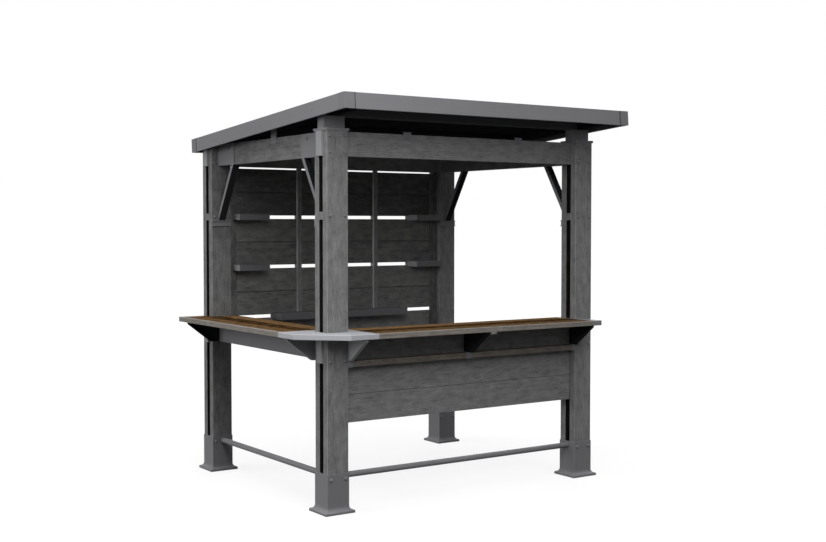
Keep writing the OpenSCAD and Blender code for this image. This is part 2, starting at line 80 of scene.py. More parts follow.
def linear(code):
    """The linear colour that a shader takes, from an sRGB hex colour."""
    channels = [int(code[i:i + 2], 16) / 255 for i in (0, 2, 4)]
    return [c / 12.92 if c <= 0.04045 else ((c + 0.055) / 1.055) ** 2.4
            for c in channels] + [1.0]


def add_node(tree, kind, sockets=None, **settings):
    """Adds a node, sets its properties, and gives its sockets a value or a link."""
    node = tree.nodes.new(kind)
    for key, value in settings.items():
        setattr(node, key, value)
    for key, value in (sockets or {}).items():
        if isinstance(value, bpy.types.NodeSocket):
            tree.links.new(value, node.inputs[key])
        else:
            node.inputs[key].default_value = value
    return node


def stained_timber(name, pale, dark, roughness=0.62, gloss=0.03, spread=0.30, edge=0.30,
                   streak=0.50):
    """Sawn and planed softwood under a thin stain: growth rings, fine fibres and short dark
    pores run along each board, and each board takes the stain a little differently. The
    fibres and the nap are drawn about ten times coarser than real ones so that they show."""
    material = bpy.data.materials.new(name)
    material.use_nodes = True
    tree = material.node_tree
    tree.nodes.clear()
    grain = add_node(tree, "ShaderNodeAttribute", attribute_name="grain").outputs["Vector"]
    board = add_node(tree, "ShaderNodeAttribute", attribute_name="board").outputs["Fac"]
    eased = add_node(tree, "ShaderNodeAttribute", attribute_name="eased").outputs["Fac"]

    # The fibres sway as they pass knots that lie deeper in the board
    slow = add_node(tree, "ShaderNodeMapping", {"Vector": grain, "Scale": SWAYS_PER_METRE})
    sway = add_node(tree, "ShaderNodeTexNoise", {"Vector": slow.outputs[0], "Scale": 1.0,
                                                 "Detail": 2.0})
    bend = add_node(tree, "ShaderNodeVectorMath", {0: sway.outputs["Color"],
                                                   1: (0.0, SWAY, SWAY), 2: grain},
                    operation="MULTIPLY_ADD").outputs[0]
    rings = add_node(tree, "ShaderNodeTexWave", {
        "Vector": bend, "Scale": WAVE_PERIOD / RING_SPACING, "Distortion": 0.6,
        "Detail": 1.0, "Detail Scale": 0.4}, wave_type="RINGS", rings_direction="X")
    along = add_node(tree, "ShaderNodeMapping", {
        "Vector": bend, "Scale": (1 / FIBRE_LENGTH, 1 / FIBRE_WIDTH, 1 / FIBRE_WIDTH)})
    fibre = add_node(tree, "ShaderNodeTexNoise", {"Vector": along.outputs[0], "Scale": 1.0,
                                                  "Detail": 3.0, "Roughness": 0.6})
    dashes = add_node(tree, "ShaderNodeMapping", {"Vector": bend, "Scale": PORES_PER_METRE})
    pores = add_node(tree, "ShaderNodeTexNoise", {"Vector": dashes.outputs[0], "Scale": 1.0,
                                                  "Detail": 1.0})
    pore = add_node(tree, "ShaderNodeMapRange", {"Value": pores.outputs["Fac"],
                                                 "From Min": 0.60, "From Max": 0.74})
    cloud = add_node(tree, "ShaderNodeMapping", {
        "Vector": grain, "Scale": (1 / BLOTCH_LENGTH, 1 / BLOTCH_WIDTH, 1 / BLOTCH_WIDTH)})
    soak = add_node(tree, "ShaderNodeTexNoise", {"Vector": cloud.outputs[0], "Scale": 1.0,
                                                 "Detail": 3.0})
    nap = add_node(tree, "ShaderNodeTexNoise", {"Vector": grain, "Scale": 0.5 / NAP,
                                                "Detail": 2.0, "Roughness": 0.7})

    # How much each pattern adds to the timber's paleness, which is halfway on average
    parts = ((rings.outputs["Fac"], 0.12), (fibre.outputs["Fac"], streak),
             (soak.outputs["Fac"], 0.95), (nap.outputs["Fac"], 0.45), (board, spread))
    paleness = 0.5 - sum(weight for _, weight in parts) / 2
    for pattern, weight in parts + ((pore.outputs[0], -0.35), (eased, edge)):
        paleness = add_node(tree, "ShaderNodeMath", {0: pattern, 1: weight, 2: paleness},
                            operation="MULTIPLY_ADD").outputs[0]
    colour = add_node(tree, "ShaderNodeMix", {0: paleness, 6: linear(dark),
                                              7: linear(pale)},
                      data_type="RGBA", clamp_factor=True)
    rough = add_node(tree, "ShaderNodeMapRange", {"Value": fibre.outputs["Fac"],
                                                  "To Min": roughness + 0.10,
                                                  "To Max": roughness - 0.08})
    relief = add_node(tree, "ShaderNodeMath", {0: pore.outputs[0], 1: -0.6,
                                               2: fibre.outputs["Fac"]},
                      operation="MULTIPLY_ADD")
    bump = add_node(tree, "ShaderNodeBump", {"Height": relief.outputs[0], "Strength": 0.35,
                                             "Distance": 0.8 * MM})
    shader = add_node(tree, "ShaderNodeBsdfPrincipled", {
        "Base Color": colour.outputs[2], "Roughness": rough.outputs[0],
        "Normal": bump.outputs[0], "IOR": 1.45, "Specular IOR Level": gloss})
    add_node(tree, "ShaderNodeOutputMaterial", {"Surface": shader.outputs[0]})
    return material


def loose_parts(shape):
    """The separate parts of a mesh, from the front left one on: each part's vertices, and its
    lowest and highest corners."""
    parts = []
    for vert in shape.verts:
        vert.tag = False
    for first in shape.verts:
        if first.tag:
            continue
        first.tag = True
        part, waiting = [], [first]
        while waiting:
            vert = waiting.pop()
            part.append(vert)
            for edge in vert.link_edges:
                other = edge.other_vert(vert)
                if not other.tag:
                    other.tag = True
                    waiting.append(other)
        low = Vector([min(v.co[i] for v in part) for i in range(3)])
        high = Vector([max(v.co[i] for v in part) for i in range(3)])
        parts.append((part, low, high))
    parts.sort(key=lambda part: round(part[1].x + part[1].y, 3))
    return parts


def write_grain(shape, tones=()):
    """Gives each loose board of a mesh its own grain: a point's place along the board, across
    it and through it, from a heart that lies somewhere outside. Each board's tone is the next
    of tones, or else is random."""
    grain = shape.verts.layers.float_vector.new("grain")
    tone = shape.verts.layers.float.new("board")
    for n, (board, low, high) in enumerate(loose_parts(shape)):
        order = sorted(range(3), key=lambda i: low[i] - high[i])
        heart = Vector((boards.uniform(-LOG_REACH, LOG_REACH),
                        boards.uniform(-HEART_SIDE, HEART_SIDE),
                        boards.choice((-1, 1)) * boards.uniform(HEART_NEAR, HEART_FAR)))
        own = tones[n] if n < len(tones) else boards.random()
        for vert in board:
            place = [vert.co[i] - (low[i] + high[i]) / 2 for i in order]
            vert[grain] = Vector(place) + heart
            vert[tone] = own


def finish_shape(shape, name):
    """The object made of a finished bmesh."""
    mesh = bpy.data.meshes.new(name)
    shape.to_mesh(mesh)
    shape.free()
    piece = bpy.data.objects.new(name, mesh)
    bpy.context.scene.collection.objects.link(piece)
    return piece


def eased_copy(node, ease, name, tones=()):
    """A finished piece with a node's shape: its triangles are joined into flat faces, and its
    edges are rounded by ease."""
    flat, sharp = math.radians(0.5), math.radians(20)
    shape = bmesh.new()
    shape.from_mesh(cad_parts[node].data)
    bmesh.ops.remove_doubles(shape, verts=shape.verts, dist=WELD)
    bmesh.ops.dissolve_limit(shape, angle_limit=flat, verts=shape.verts, edges=shape.edges)
    worn = shape.faces.layers.float.new("eased")
    corners = [e for e in shape.edges if e.is_manifold and e.calc_face_angle() > sharp]
    made = bmesh.ops.bevel(shape, geom=corners, offset=ease, segments=2, profile=0.5,
                           affect="EDGES", clamp_overlap=True)
    for face in made["faces"]:
        face[worn] = 1.0
    write_grain(shape, tones)
    return finish_shape(shape, name)


def put_in_place(piece, finish, slot, *nodes):
    """Gives a piece its finish, hangs it on the root and hides the nodes it stands for; slot is
    not used.
    """
    piece.data.materials.clear()
    piece.data.materials.append(finish)
    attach(piece, "root")
    if nodes:
        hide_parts(*nodes)
    return piece


def timber_piece(node, name, finish, ease, tones=(), slot="grey_stained_wood"):
    """A node's timber in its finished shape, each board with its own tone."""
    return put_in_place(eased_copy(node, ease, name, tones), finish, slot, node)


def refinish(piece, finish, chosen):
    """Gives a piece's chosen faces a second finish."""
    piece.data.materials.append(finish)
    for face in piece.data.polygons:
        if chosen(face):
            face.material_index = 1


grey_timber = stained_timber("grey_stained_softwood", STAIN_PALE, STAIN_DARK)
# A near-black finish that paints the shade inside the posts' slots
slot_shade_timber = stained_timber("slot_shade_painted_softwood", SLOT_SHADE_PALE, SLOT_SHADE_DEEP,
                             roughness=0.85, gloss=0.0)
POSTS = ("front_left", "front_right", "rear_left", "rear_right")
# Each post's plank tones; the 0.15 ones paint shade on the rear left post and the front right one
POST_TONES_AND_SHADE = ((0.5, 0.4), (0.5, 0.15), (0.15, 0.3), (0.6, 0.4))
for place, tones in zip(POSTS, POST_TONES_AND_SHADE):
    node = "post_" + place
    post = timber_piece(node, node + "_planks", grey_timber, PLANK_EASE, tones)
    # The planks' inner faces in the slot take a near-black finish: painted shade deep in the slot
    low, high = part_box(node)
    middle = (low.y + high.y) / 2
    refinish(post, slot_shade_timber, lambda face: abs(face.normal.y) > SQUARE_ON
             and abs(face.center.y - middle) < SLOT_SHADE_REACH)
timber_piece("post_spacers", "post_spacer_blocks", grey_timber, BLOCK_EASE)

# ---- Boots and caps ----
# A boot is a square steel sleeve on a flared foot, and a cap is a shallow folded tray.
# Both are powder coated: a baked plastic skin with a slight orange peel and a satin sheen,
# which thins to a paler line over the edges.
BOOT_GREY = "707073"
STEEL_GREY = "767679"
PEEL = 3 * MM
BOOT_EASE, SHEET_EASE = 1.5 * MM, 1 * MM


def powder_coat(name, colour, roughness=0.5, gloss=0.06, spread=0.10, edge=0.16):
    """Powder-coated steel, with the orange peel drawn twice as coarse as real so that it
    shows, and a faint cloudiness from dust and handling."""
    material = bpy.data.materials.new(name)
    material.use_nodes = True
    tree = material.node_tree
    tree.nodes.clear()
    place = add_node(tree, "ShaderNodeTexCoord").outputs["Object"]
    eased = add_node(tree, "ShaderNodeAttribute", attribute_name="eased").outputs["Fac"]
    cloud = add_node(tree, "ShaderNodeTexNoise", {"Vector": place, "Scale": 6.0,
                                                  "Detail": 4.0, "Roughness": 0.6})
    grit = add_node(tree, "ShaderNodeTexNoise", {"Vector": place, "Scale": 0.5 / PEEL,
                                                 "Detail": 2.0})
    parts = ((cloud.outputs["Fac"], spread), (grit.outputs["Fac"], spread * 0.7))
    level = 1.0 - sum(weight for _, weight in parts) / 2
    for pattern, weight in parts + ((eased, edge),):
        level = add_node(tree, "ShaderNodeMath", {0: pattern, 1: weight, 2: level},
                         operation="MULTIPLY_ADD").outputs[0]
    tint = add_node(tree, "ShaderNodeVectorMath", {0: linear(colour)[:3], "Scale": level},
                    operation="SCALE")
    rough = add_node(tree, "ShaderNodeMapRange", {"Value": cloud.outputs["Fac"],
                                                  "To Min": roughness - 0.08,
                                                  "To Max": roughness + 0.08})
    bump = add_node(tree, "ShaderNodeBump", {"Height": grit.outputs["Fac"],
                                             "Strength": 0.12, "Distance": 0.3 * MM})
    shader = add_node(tree, "ShaderNodeBsdfPrincipled", {
        "Base Color": tint.outputs[0], "Roughness": rough.outputs[0],
        "Normal": bump.outputs[0], "IOR": 1.5, "Specular IOR Level": gloss})
    add_node(tree, "ShaderNodeOutputMaterial", {"Surface": shader.outputs[0]})
    return material


def steel_piece(node, name, finish, ease=SHEET_EASE, slot="grey_painted_steel"):
    """A node's steelwork in its finished shape."""
    return put_in_place(eased_copy(node, ease, name), finish, slot, node)


boot_coat = powder_coat("graphite_powder_coated_steel", BOOT_GREY)
grey_coat = powder_coat("grey_powder_coated_steel", STEEL_GREY)
for place in POSTS:
    node = "boot_" + place
    steel_piece(node, node + "_steel", boot_coat, BOOT_EASE)
steel_piece("post_caps", "post_cap_trays", grey_coat)

# ---- Bolts ----
# Carriage bolts with low domed heads and thin washers clamp the two planks of each post on
# the headers, on the brace shoes' blocks, at the bar and in the boots. They are coated with
# the steelwork. Each bolt is turned by chance, as it was when it was driven in.
BOLT_HEAD, BOLT_RISE = 20 * MM, 8 * MM
BOLT_WASHER, BOLT_WASHER_T = 25 * MM, 1.2 * MM
BOLT_INSET = 21 * MM
HEADER_BOLT_INSETS = (18 * MM, 28 * MM)
BOOT_BOLT_DROP = 34 * MM
PLATE_BOLT_REACH = 170 * MM


def heads_tree():
    """Geometry Nodes that set a domed head and its washer on every vertex, square to the
    vertex's own facing."""
    tree = bpy.data.node_groups.new("fastener_heads", "GeometryNodeTree")
    for label, kind, value in (
            ("Geometry", "NodeSocketGeometry", None),
            ("Head Width", "NodeSocketFloat", BOLT_HEAD),
            ("Head Rise", "NodeSocketFloat", BOLT_RISE),
            ("Washer Width", "NodeSocketFloat", BOLT_WASHER),
            ("Washer Thickness", "NodeSocketFloat", BOLT_WASHER_T),
            ("Sides", "NodeSocketInt", 16), ("Finish", "NodeSocketMaterial", None)):
        socket = tree.interface.new_socket(name=label, in_out="INPUT", socket_type=kind)
        if value is not None:
            socket.default_value = value
    tree.interface.new_socket(name="Geometry", in_out="OUTPUT",
                              socket_type="NodeSocketGeometry")
    given = add_node(tree, "NodeGroupInput").outputs

    ball = add_node(tree, "GeometryNodeMeshUVSphere", {"Segments": given["Sides"], "Rings": 8,
                                                       "Radius": 0.5})
    full_rise = add_node(tree, "ShaderNodeMath", {0: given["Head Rise"], 1: 2.0},
                         operation="MULTIPLY")
    girth = add_node(tree, "ShaderNodeCombineXYZ", {"X": given["Head Width"],
                                                    "Y": given["Head Width"],
                                                    "Z": full_rise.outputs[0]})
    dome = add_node(tree, "GeometryNodeTransform", {"Geometry": ball.outputs["Mesh"],
                                                    "Scale": girth.outputs[0]})
    place = add_node(tree, "GeometryNodeInputPosition")
    axes = add_node(tree, "ShaderNodeSeparateXYZ", {0: place.outputs[0]})
    above = add_node(tree, "ShaderNodeMath", {0: axes.outputs["Z"], 1: 0.0},
                     operation="MAXIMUM")
    seated = add_node(tree, "ShaderNodeMath", {0: above.outputs[0],
                                               1: given["Washer Thickness"]}, operation="ADD")
    flat = add_node(tree, "ShaderNodeCombineXYZ", {"X": axes.outputs["X"],
                                                   "Y": axes.outputs["Y"],
                                                   "Z": seated.outputs[0]})
    dome = add_node(tree, "GeometryNodeSetPosition", {"Geometry": dome.outputs[0],
                                                      "Position": flat.outputs[0]})
    rim = add_node(tree, "ShaderNodeMath", {0: given["Washer Width"], 1: 0.5},
                   operation="MULTIPLY")
    top_rim = add_node(tree, "ShaderNodeMath", {0: rim.outputs[0],
                                                1: given["Washer Thickness"]},
                       operation="SUBTRACT")
    washer = add_node(tree, "GeometryNodeMeshCone", {
        "Vertices": 24, "Radius Top": top_rim.outputs[0], "Radius Bottom": rim.outputs[0],
        "Depth": given["Washer Thickness"]})
    smooth = add_node(tree, "GeometryNodeSetShadeSmooth", {"Geometry": dome.outputs[0],
                                                           "Shade Smooth": True})
    head = add_node(tree, "GeometryNodeJoinGeometry", {0: smooth.outputs[0]})
    tree.links.new(washer.outputs["Mesh"], head.inputs[0])

    facing = add_node(tree, "GeometryNodeInputNamedAttribute", {"Name": "facing"},
                      data_type="FLOAT_VECTOR")
    upright = add_node(tree, "FunctionNodeAlignRotationToVector",
                       {"Vector": facing.outputs["Attribute"]}, axis="Z")
    chance = add_node(tree, "FunctionNodeRandomValue", {"Seed": 7}, data_type="FLOAT")
    angle = add_node(tree, "ShaderNodeMath", {0: chance.outputs[1], 1: 2 * math.pi},
                     operation="MULTIPLY")
    spin = add_node(tree, "FunctionNodeAxisAngleToRotation", {"Axis": (0.0, 0.0, 1.0),
                                                              "Angle": angle.outputs[0]})
    turned = add_node(tree, "FunctionNodeRotateRotation", {
        "Rotation": upright.outputs[0], "Rotate By": spin.outputs[0]}, rotation_space="LOCAL")
    fixed = add_node(tree, "GeometryNodeInstanceOnPoints", {
        "Points": given["Geometry"], "Instance": head.outputs[0],
        "Rotation": turned.outputs[0]})
    real = add_node(tree, "GeometryNodeRealizeInstances", {"Geometry": fixed.outputs[0]})
    coated = add_node(tree, "GeometryNodeSetMaterial", {"Geometry": real.outputs[0],
                                                        "Material": given["Finish"]})
    add_node(tree, "NodeGroupOutput", {"Geometry": coated.outputs[0]})
    return tree


HEADS = heads_tree()


def fasteners(name, places, finish, slot, **sizes):
    """One piece made of a head at each (point, facing) of places."""
    mesh = bpy.data.meshes.new(name)
    mesh.from_pydata([point for point, _ in places], [], [])
    facings = mesh.attributes.new("facing", "FLOAT_VECTOR", "POINT")
    for n, (_, facing) in enumerate(places):
        facings.data[n].vector = facing
    piece = bpy.data.objects.new(name, mesh)
    bpy.context.scene.collection.objects.link(piece)
    heads = piece.modifiers.new("heads", "NODES")
    heads.node_group = HEADS
    wanted = {"Finish": finish, **{key.replace("_", " ").title(): size
                                   for key, size in sizes.items()}}
    for socket in HEADS.interface.items_tree:
        if socket.in_out == "INPUT" and socket.name in wanted:
            heads[socket.identifier] = wanted[socket.name]
    seen = piece.evaluated_get(bpy.context.evaluated_depsgraph_get())
    piece.data = bpy.data.meshes.new_from_object(seen)
    piece.modifiers.clear()
    piece.data.name = name
    return put_in_place(piece, finish, slot)


header_low, header_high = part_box("header_front")
shoe_low, shoe_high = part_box("post_spacers")
sleeve_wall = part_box("foot_rail_front")[0].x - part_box("post_front_left")[1].x
post_bolts, boot_bolts = [], []
for place in POSTS:
    low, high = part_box("post_" + place)
    bar_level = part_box("gussets_front")[0].z if "front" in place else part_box("apron_left")[1].z
    levels = (header_high.z - HEADER_BOLT_INSETS[1], header_low.z + HEADER_BOLT_INSETS[0],
              (shoe_low.z + shoe_high.z) / 2, bar_level)
    boot_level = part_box("boot_" + place)[1].z - BOOT_BOLT_DROP
    for x in (low.x + BOLT_INSET, high.x - BOLT_INSET):
        for y, out in ((low.y, -1), (high.y, 1)):
            post_bolts += [((x, y, z), (0, out, 0)) for z in levels]
            boot_bolts.append(((x, y + out * sleeve_wall, boot_level), (0, out, 0)))
plate_low, plate_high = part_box("header_plates")
plate_bolts = [((x, y, header_high.z - HEADER_BOLT_INSETS[1]), (out, 0, 0))
               for x, out in ((plate_low.x, -1), (plate_high.x, 1))
               for y in (plate_low.y + PLATE_BOLT_REACH, plate_high.y - PLATE_BOLT_REACH)]
for name, places in (("post_bolts", post_bolts), ("boot_bolts", boot_bolts),
                     ("header_plate_bolts", plate_bolts)):
    fasteners(name, places, boot_coat, "grey_painted_steel", head_width=BOLT_HEAD,
              head_rise=BOLT_RISE, washer_width=BOLT_WASHER, washer_thickness=BOLT_WASHER_T)

# ---- Headers, plates and clips ----
# Four header boards tie the posts together at the top. Folded steel covers close the posts'
# slots beside them, flat plates join the side headers to the posts, and folded tabs with a
# screw each stand up from the outer faces of the front and back ones.
# A paler grey coat for the slot covers, which also paints light on them, on the front brackets
# near the corner and on the small shelves' ends
PALE_AND_LIT_STEEL = "8b8c8e"
# The headers' tones, front, rear, left and right: the front one is raised as painted light, the
# left one lowered as painted shade
HEADER_TONES_LIGHT_AND_SHADE = (0.85, 0.5, 0.15, 0.5)
TAB_T, TAB_FOLD = 3 * MM, 10 * MM
TAB_EASE = 0.6 * MM
SCREW_HEAD, SCREW_RISE = 10 * MM, 3 * MM
SCREW_WASHER, SCREW_WASHER_T = SCREW_HEAD + 1 * MM, 0.3 * MM


def add_prism(shape, *outlines):
    """Adds a closed bar to a mesh, between the outlines of its two ends."""
    first, last = [[shape.verts.new(corner) for corner in outline] for outline in outlines]
    shape.faces.new(first)
    shape.faces.new(reversed(last))
    for i, corner in enumerate(first):
        after = (i + 1) % len(first)
        shape.faces.new((corner, last[i], last[after], first[after]))


def add_bar(shape, outline, start, end):
    """Adds a closed bar to a mesh: an outline of (y, z) corners, run from x start to end."""
    add_prism(shape, *([(x, y, z) for y, z in outline] for x in (start, end)))


def folded_tabs():
    """A tab on the outer face of the front and back headers, where the clips are: a strip
    that stands up past the header's top, with its end folded inwards."""
    clips = bmesh.new()
    clips.from_mesh(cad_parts["header_clips"].data)
    bmesh.ops.remove_doubles(clips, verts=clips.verts, dist=WELD)
    shape = bmesh.new()
    screws = []
    for _, low, high in loose_parts(clips):
        y, inwards = (low.y, 1) if low.y < 0 else (high.y, -1)
        wall, fold = y + inwards * TAB_T, y + inwards * TAB_FOLD
        under = high.z - TAB_T
        add_bar(shape, [(y, low.z), (y, high.z), (fold, high.z), (fold, under), (wall, under),
                        (wall, low.z)], low.x, high.x)
        screws.append((((low.x + high.x) / 2, y, low.z + SCREW_HEAD), (0, -inwards, 0)))
    clips.free()
    bmesh.ops.recalc_face_normals(shape, faces=shape.faces)
    bmesh.ops.bevel(shape, geom=shape.edges[:], offset=TAB_EASE, segments=1, affect="EDGES",
                    clamp_overlap=True)
    return finish_shape(shape, "header_tabs"), screws


pale_and_lit_coat = powder_coat("light_grey_steel_and_painted_light", PALE_AND_LIT_STEEL)
for side, tone in zip(("front", "rear", "left", "right"), HEADER_TONES_LIGHT_AND_SHADE):
    node = "header_" + side
    timber_piece(node, node + "_board", grey_timber, PLANK_EASE, (tone,))
steel_piece("slot_covers", "slot_cover_channels", pale_and_lit_coat)
steel_piece("header_plates", "header_joint_plates", grey_coat)
tabs, tab_screws = folded_tabs()
put_in_place(tabs, boot_coat, "grey_painted_steel", "header_clips")
fasteners("header_tab_screws", tab_screws, boot_coat, "grey_painted_steel",
          head_width=SCREW_HEAD, head_rise=SCREW_RISE, washer_width=SCREW_WASHER,
          washer_thickness=SCREW_WASHER_T)

# ---- Knee braces ----
# Steel braces stand in channels on the posts and carry the side headers. Each is two folded
# cheeks with a web set back between them, coloured dark as painted shade in the recess.
# A dark coat for the roof's frame and the sheet's underside, and painted shade on the braces' webs
# and on the brackets away from the corner
DARK_STEEL_AND_SHADE = "2a2b2d"
WEB_LIP, WEB_DEPTH = 3 * MM, 5 * MM


def set_webs_back_in_shade(piece, finish):
    """Sets a brace's two long faces back between its cheeks, and gives the recess its own
    finish: a dark one, painted shade in the recess."""
    piece.data.materials.append(finish)
    shape = bmesh.new()
    shape.from_mesh(piece.data)
    long = sorted((face for face in shape.faces if abs(face.normal.x) < 1 - SQUARE_ON),
                  key=lambda face: face.calc_area())[-2:]
    rims = bmesh.ops.inset_individual(shape, faces=long, thickness=WEB_LIP,
                                      depth=-WEB_DEPTH)["faces"]
    for face in long + rims:
        face.material_index = 1
    shape.to_mesh(piece.data)
    shape.free()


dark_and_shade_coat = powder_coat("dark_steel_and_painted_shade", DARK_STEEL_AND_SHADE, roughness=0.6, gloss=0.0)
for place in POSTS:
    node = "brace_" + place
    set_webs_back_in_shade(steel_piece(node, node + "_bar", grey_coat), dark_and_shade_coat)
steel_piece("brace_shoes", "brace_shoe_channels", grey_coat)

# ---- Roof ----
# A ribbed steel sheet lies on dark steel tubes, inside a fascia of folded grey sheet whose
# corners are covered by folded angles. Risers lift its front edge over the front posts.
BEAM_STEEL = "5c5d60"
SHEET_STEEL = "414245"
FACES_UP = 0.1
FASCIA_EASE = 0.8 * MM
beam_coat = powder_coat("charcoal_powder_coated_steel", BEAM_STEEL, gloss=0.0)
sheet_coat = powder_coat("anthracite_coil_coated_steel", SHEET_STEEL, roughness=0.50, gloss=0.05)
for node, name, finish in (("roof_deck", "roof_sheet", dark_and_shade_coat),
                           ("roof_front_beam", "roof_front_tube", beam_coat),
                           ("roof_rails", "roof_side_tubes", dark_and_shade_coat),
                           ("roof_purlins", "roof_purlin_tubes", dark_and_shade_coat)):
    piece = steel_piece(node, name, finish, slot="dark_painted_steel")
    if node == "roof_deck":
        # The sheet's weather side has the glossier coat, and its underside a dull primer
        refinish(piece, sheet_coat, lambda face: face.normal.z > FACES_UP)
for node, name, finish in (("fascia_front", "fascia_front_sheet", grey_coat),
                           ("fascia_rear", "fascia_rear_sheet", grey_coat),
                           ("fascia_left", "fascia_left_sheet", grey_coat),
                           ("fascia_right", "fascia_right_sheet", grey_coat),
                           ("fascia_corners", "fascia_corner_angles", boot_coat),
                           ("risers", "riser_boxes", grey_coat),
                           ("roof_seats", "roof_straps", grey_coat)):
    steel_piece(node, name, finish, FASCIA_EASE)

# A thin dark fillet runs down the fascia beside the corner covers' legs, apart from
# the side legs of the front ones, which lie close on the sheet. It is painted shade in the seam.
SEAM_SHADE_DARK = "303031"
SEAM_SHADE_RISE, SEAM_SHADE_WIDTH = 2 * MM, 6 * MM
SAME_PLANE = 0.1 * MM
covers = bmesh.new()
covers.from_mesh(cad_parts["fascia_corners"].data)
bmesh.ops.remove_doubles(covers, verts=covers.verts, dist=WELD)
seam_shade_strips = bmesh.new()
for cover, low, high in loose_parts(covers):
    side = -1 if low.x < 0 else 1
    end = -1 if low.y < 0 else 1
    leg_x, face_x = (high.x, low.x) if side < 0 else (low.x, high.x)
    across = sorted((v.co for v in cover if abs(v.co.x - leg_x) < SAME_PLANE),
                    key=lambda c: c.z)
    on_end = [max(pair, key=lambda c: c.y * end) for pair in (across[:2], across[2:])]
    beside = sorted((v.co for v in cover if abs(v.co.x - face_x) < SAME_PLANE),
                    key=lambda c: c.z)
    on_side = [min(pair, key=lambda c: c.y * end) for pair in (beside[:2], beside[2:])]
    joints = ((on_end, Vector((0, end, 0)), Vector((-side, 0, 0))),
              (on_side, Vector((side, 0, 0)), Vector((0, -end, 0))))
    if end < 0:
        joints = joints[:1]
    for (foot, top), out, away in joints:
        rise = (top - foot).normalized()
        out = (out - rise * out.dot(rise)).normalized()
        away = (away - rise * away.dot(rise)).normalized()
        fillet = (Vector(), -out * SEAM_SHADE_RISE, away * SEAM_SHADE_WIDTH - out * SEAM_SHADE_RISE)
        add_prism(seam_shade_strips, *([corner + step for step in fillet] for corner in (foot, top)))
bmesh.ops.recalc_face_normals(seam_shade_strips, faces=seam_shade_strips.faces)
covers.free()
# The fillets' dark coat paints the shade in the seam
seam_shade_coat = powder_coat("dark_painted_seam_shade", SEAM_SHADE_DARK, roughness=0.45)
put_in_place(finish_shape(seam_shade_strips, "fascia_painted_seam_shades"), seam_shade_coat, "dark_painted_steel")

# Rivets hold each side fascia at even spacing along the middle of its height.
RIVET_HEAD, RIVET_RISE = 12 * MM, 3 * MM
RIVET_WASHER, RIVET_WASHER_T = RIVET_HEAD + 2 * MM, 0.4 * MM
RIVET_SPACING = 652 * MM
rivets = []
for side, out in (("left", -1), ("right", 1)):
    low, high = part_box("fascia_" + side)
    face = low.x if out < 0 else high.x
    corners = [v.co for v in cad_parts["fascia_" + side].data.vertices
               if abs(v.co.x - face) < SAME_PLANE]
    centre_y = (low.y + high.y) / 2
    front = [c for c in corners if c.y < centre_y]
    rear = [c for c in corners if c.y > centre_y]
    front = sum(front, Vector()) / len(front)
    rear = sum(rear, Vector()) / len(rear)
    along = (rear - front).normalized()
    for step in (-1, 0, 1):
        rivets.append((tuple((front + rear) / 2 + along * RIVET_SPACING * step), (out, 0, 0)))
fasteners("fascia_rivets", rivets, grey_coat, "grey_painted_steel", head_width=RIVET_HEAD,
          head_rise=RIVET_RISE, washer_width=RIVET_WASHER, washer_thickness=RIVET_WASHER_T)

# Roofing screws with wide washers hold the sheet's ribs to the tubes below.
ROOF_SCREW, ROOF_SCREW_RISE = 11 * MM, 5 * MM
ROOF_WASHER, ROOF_WASHER_T = 18 * MM, 1.5 * MM
CREST_DEPTH = 0.5 * MM
sheet = [v.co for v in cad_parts["roof_deck"].data.vertices]
sheet_low, sheet_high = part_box("roof_deck")
crests = []
for near in (True, False):
    end = [c for c in sheet if (c.y < (sheet_low.y + sheet_high.y) / 2) == near]
    top = max(c.z for c in end)
    edges = sorted({round(c.x, 4) for c in end if c.z > top - CREST_DEPTH})
    height_at = Vector((0.0, next(c.y for c in end if c.z == top), top))
    crests.append([height_at + Vector(((a + b) / 2, 0.0, 0.0))
                   for a, b in zip(edges[::2], edges[1::2])])
tube_low, tube_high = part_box("roof_purlins")
beam_low, beam_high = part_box("roof_front_beam")
rows = ((beam_low.y + beam_high.y) / 2, tube_low.y + (beam_high.y - beam_low.y) / 2,
        tube_high.y - (beam_high.y - beam_low.y) / 2)
roof_screws = []
for front, rear in zip(*crests):
    slope = (rear - front).normalized()
    facing = Vector((1.0, 0.0, 0.0)).cross(slope)
    for y in rows:
        share = (y - front.y) / (rear.y - front.y)
        roof_screws.append((tuple(front.lerp(rear, share)), tuple(facing)))
fasteners("roofing_screws", roof_screws, sheet_coat, "dark_painted_steel",
          head_width=ROOF_SCREW, head_rise=ROOF_SCREW_RISE, washer_width=ROOF_WASHER,
          washer_thickness=ROOF_WASHER_T)

# ---- Bar ----
# The bar's boards are softwood under a brown stain and a dead matt oil. A band of paler grey
# timber edges them, and steel makes the corner, the ends and the brackets underneath. The
# brackets away from the corner are dark: painted shade under the bar, like the braces' webs.
BROWN_PALE, BROWN_DARK = "7d6243", "28190c"
BAR_TONES = (0.45, 0.1, 0.85)
EDGING_PALE, EDGING_DARK = "8c8781", "625d57"
PALE_STEEL = "a0a1a5"
BAR_EASE, CORNER_EASE, END_CAP_EASE = 2.5 * MM, 3 * MM, 2 * MM
# How far past the near post the brackets keep their own coat before the painted shade starts
BRACKET_LIT_REACH = 100 * MM
brown_timber = stained_timber("brown_stained_softwood", BROWN_PALE, BROWN_DARK,
                              roughness=0.50, gloss=0.0, spread=0.9, edge=0.1, streak=0.95)
edging_timber = stained_timber("weathered_grey_softwood", EDGING_PALE, EDGING_DARK, gloss=0.0)
pale_coat = powder_coat("pale_powder_coated_steel", PALE_STEEL, roughness=0.36)
